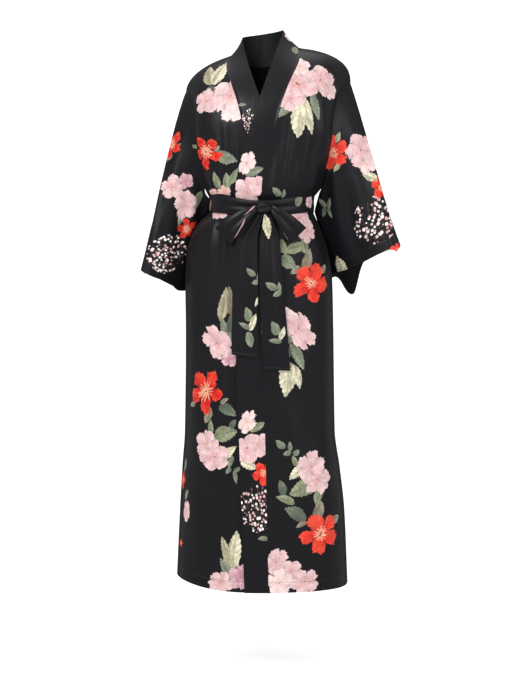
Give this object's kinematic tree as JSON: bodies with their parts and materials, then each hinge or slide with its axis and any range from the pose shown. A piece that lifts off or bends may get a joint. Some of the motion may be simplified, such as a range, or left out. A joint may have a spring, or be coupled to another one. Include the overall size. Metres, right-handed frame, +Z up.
{
  "type": "kimono robe",
  "caption": "Long wrap-front kimono robe in dark printed satin with wide sleeves, a full-length neckband and a tied belt.",
  "frame": {"origin": "the middle of the neck opening at the height of the shoulders, where the wearer holds the robe up", "axes": "+Z up, +X towards the wearer's left, the front faces -Y"},
  "size_m": [0.6233, 0.3078, 1.3361],
  "materials": {
    "printed_satin": "black satin with a soft sheen and a printed pattern of roses and leaves",
    "band_satin": "the same printed satin, doubled and pressed flat",
    "belt_satin": "the same printed satin, doubled, creased where it is tied"
  },
  "bodies": {
    "root": {"back_panel": "printed_satin", "front_left": "printed_satin", "front_right": "printed_satin", "sleeve_left": "printed_satin", "sleeve_right": "printed_satin", "neckband_left": "band_satin", "neckband_right": "band_satin", "belt_waist": "belt_satin", "belt_knot": "belt_satin", "belt_loop_left": "belt_satin", "belt_loop_right": "belt_satin", "belt_tail_left": "belt_satin", "belt_tail_right": "belt_satin"}
  },
  "joints": []
}
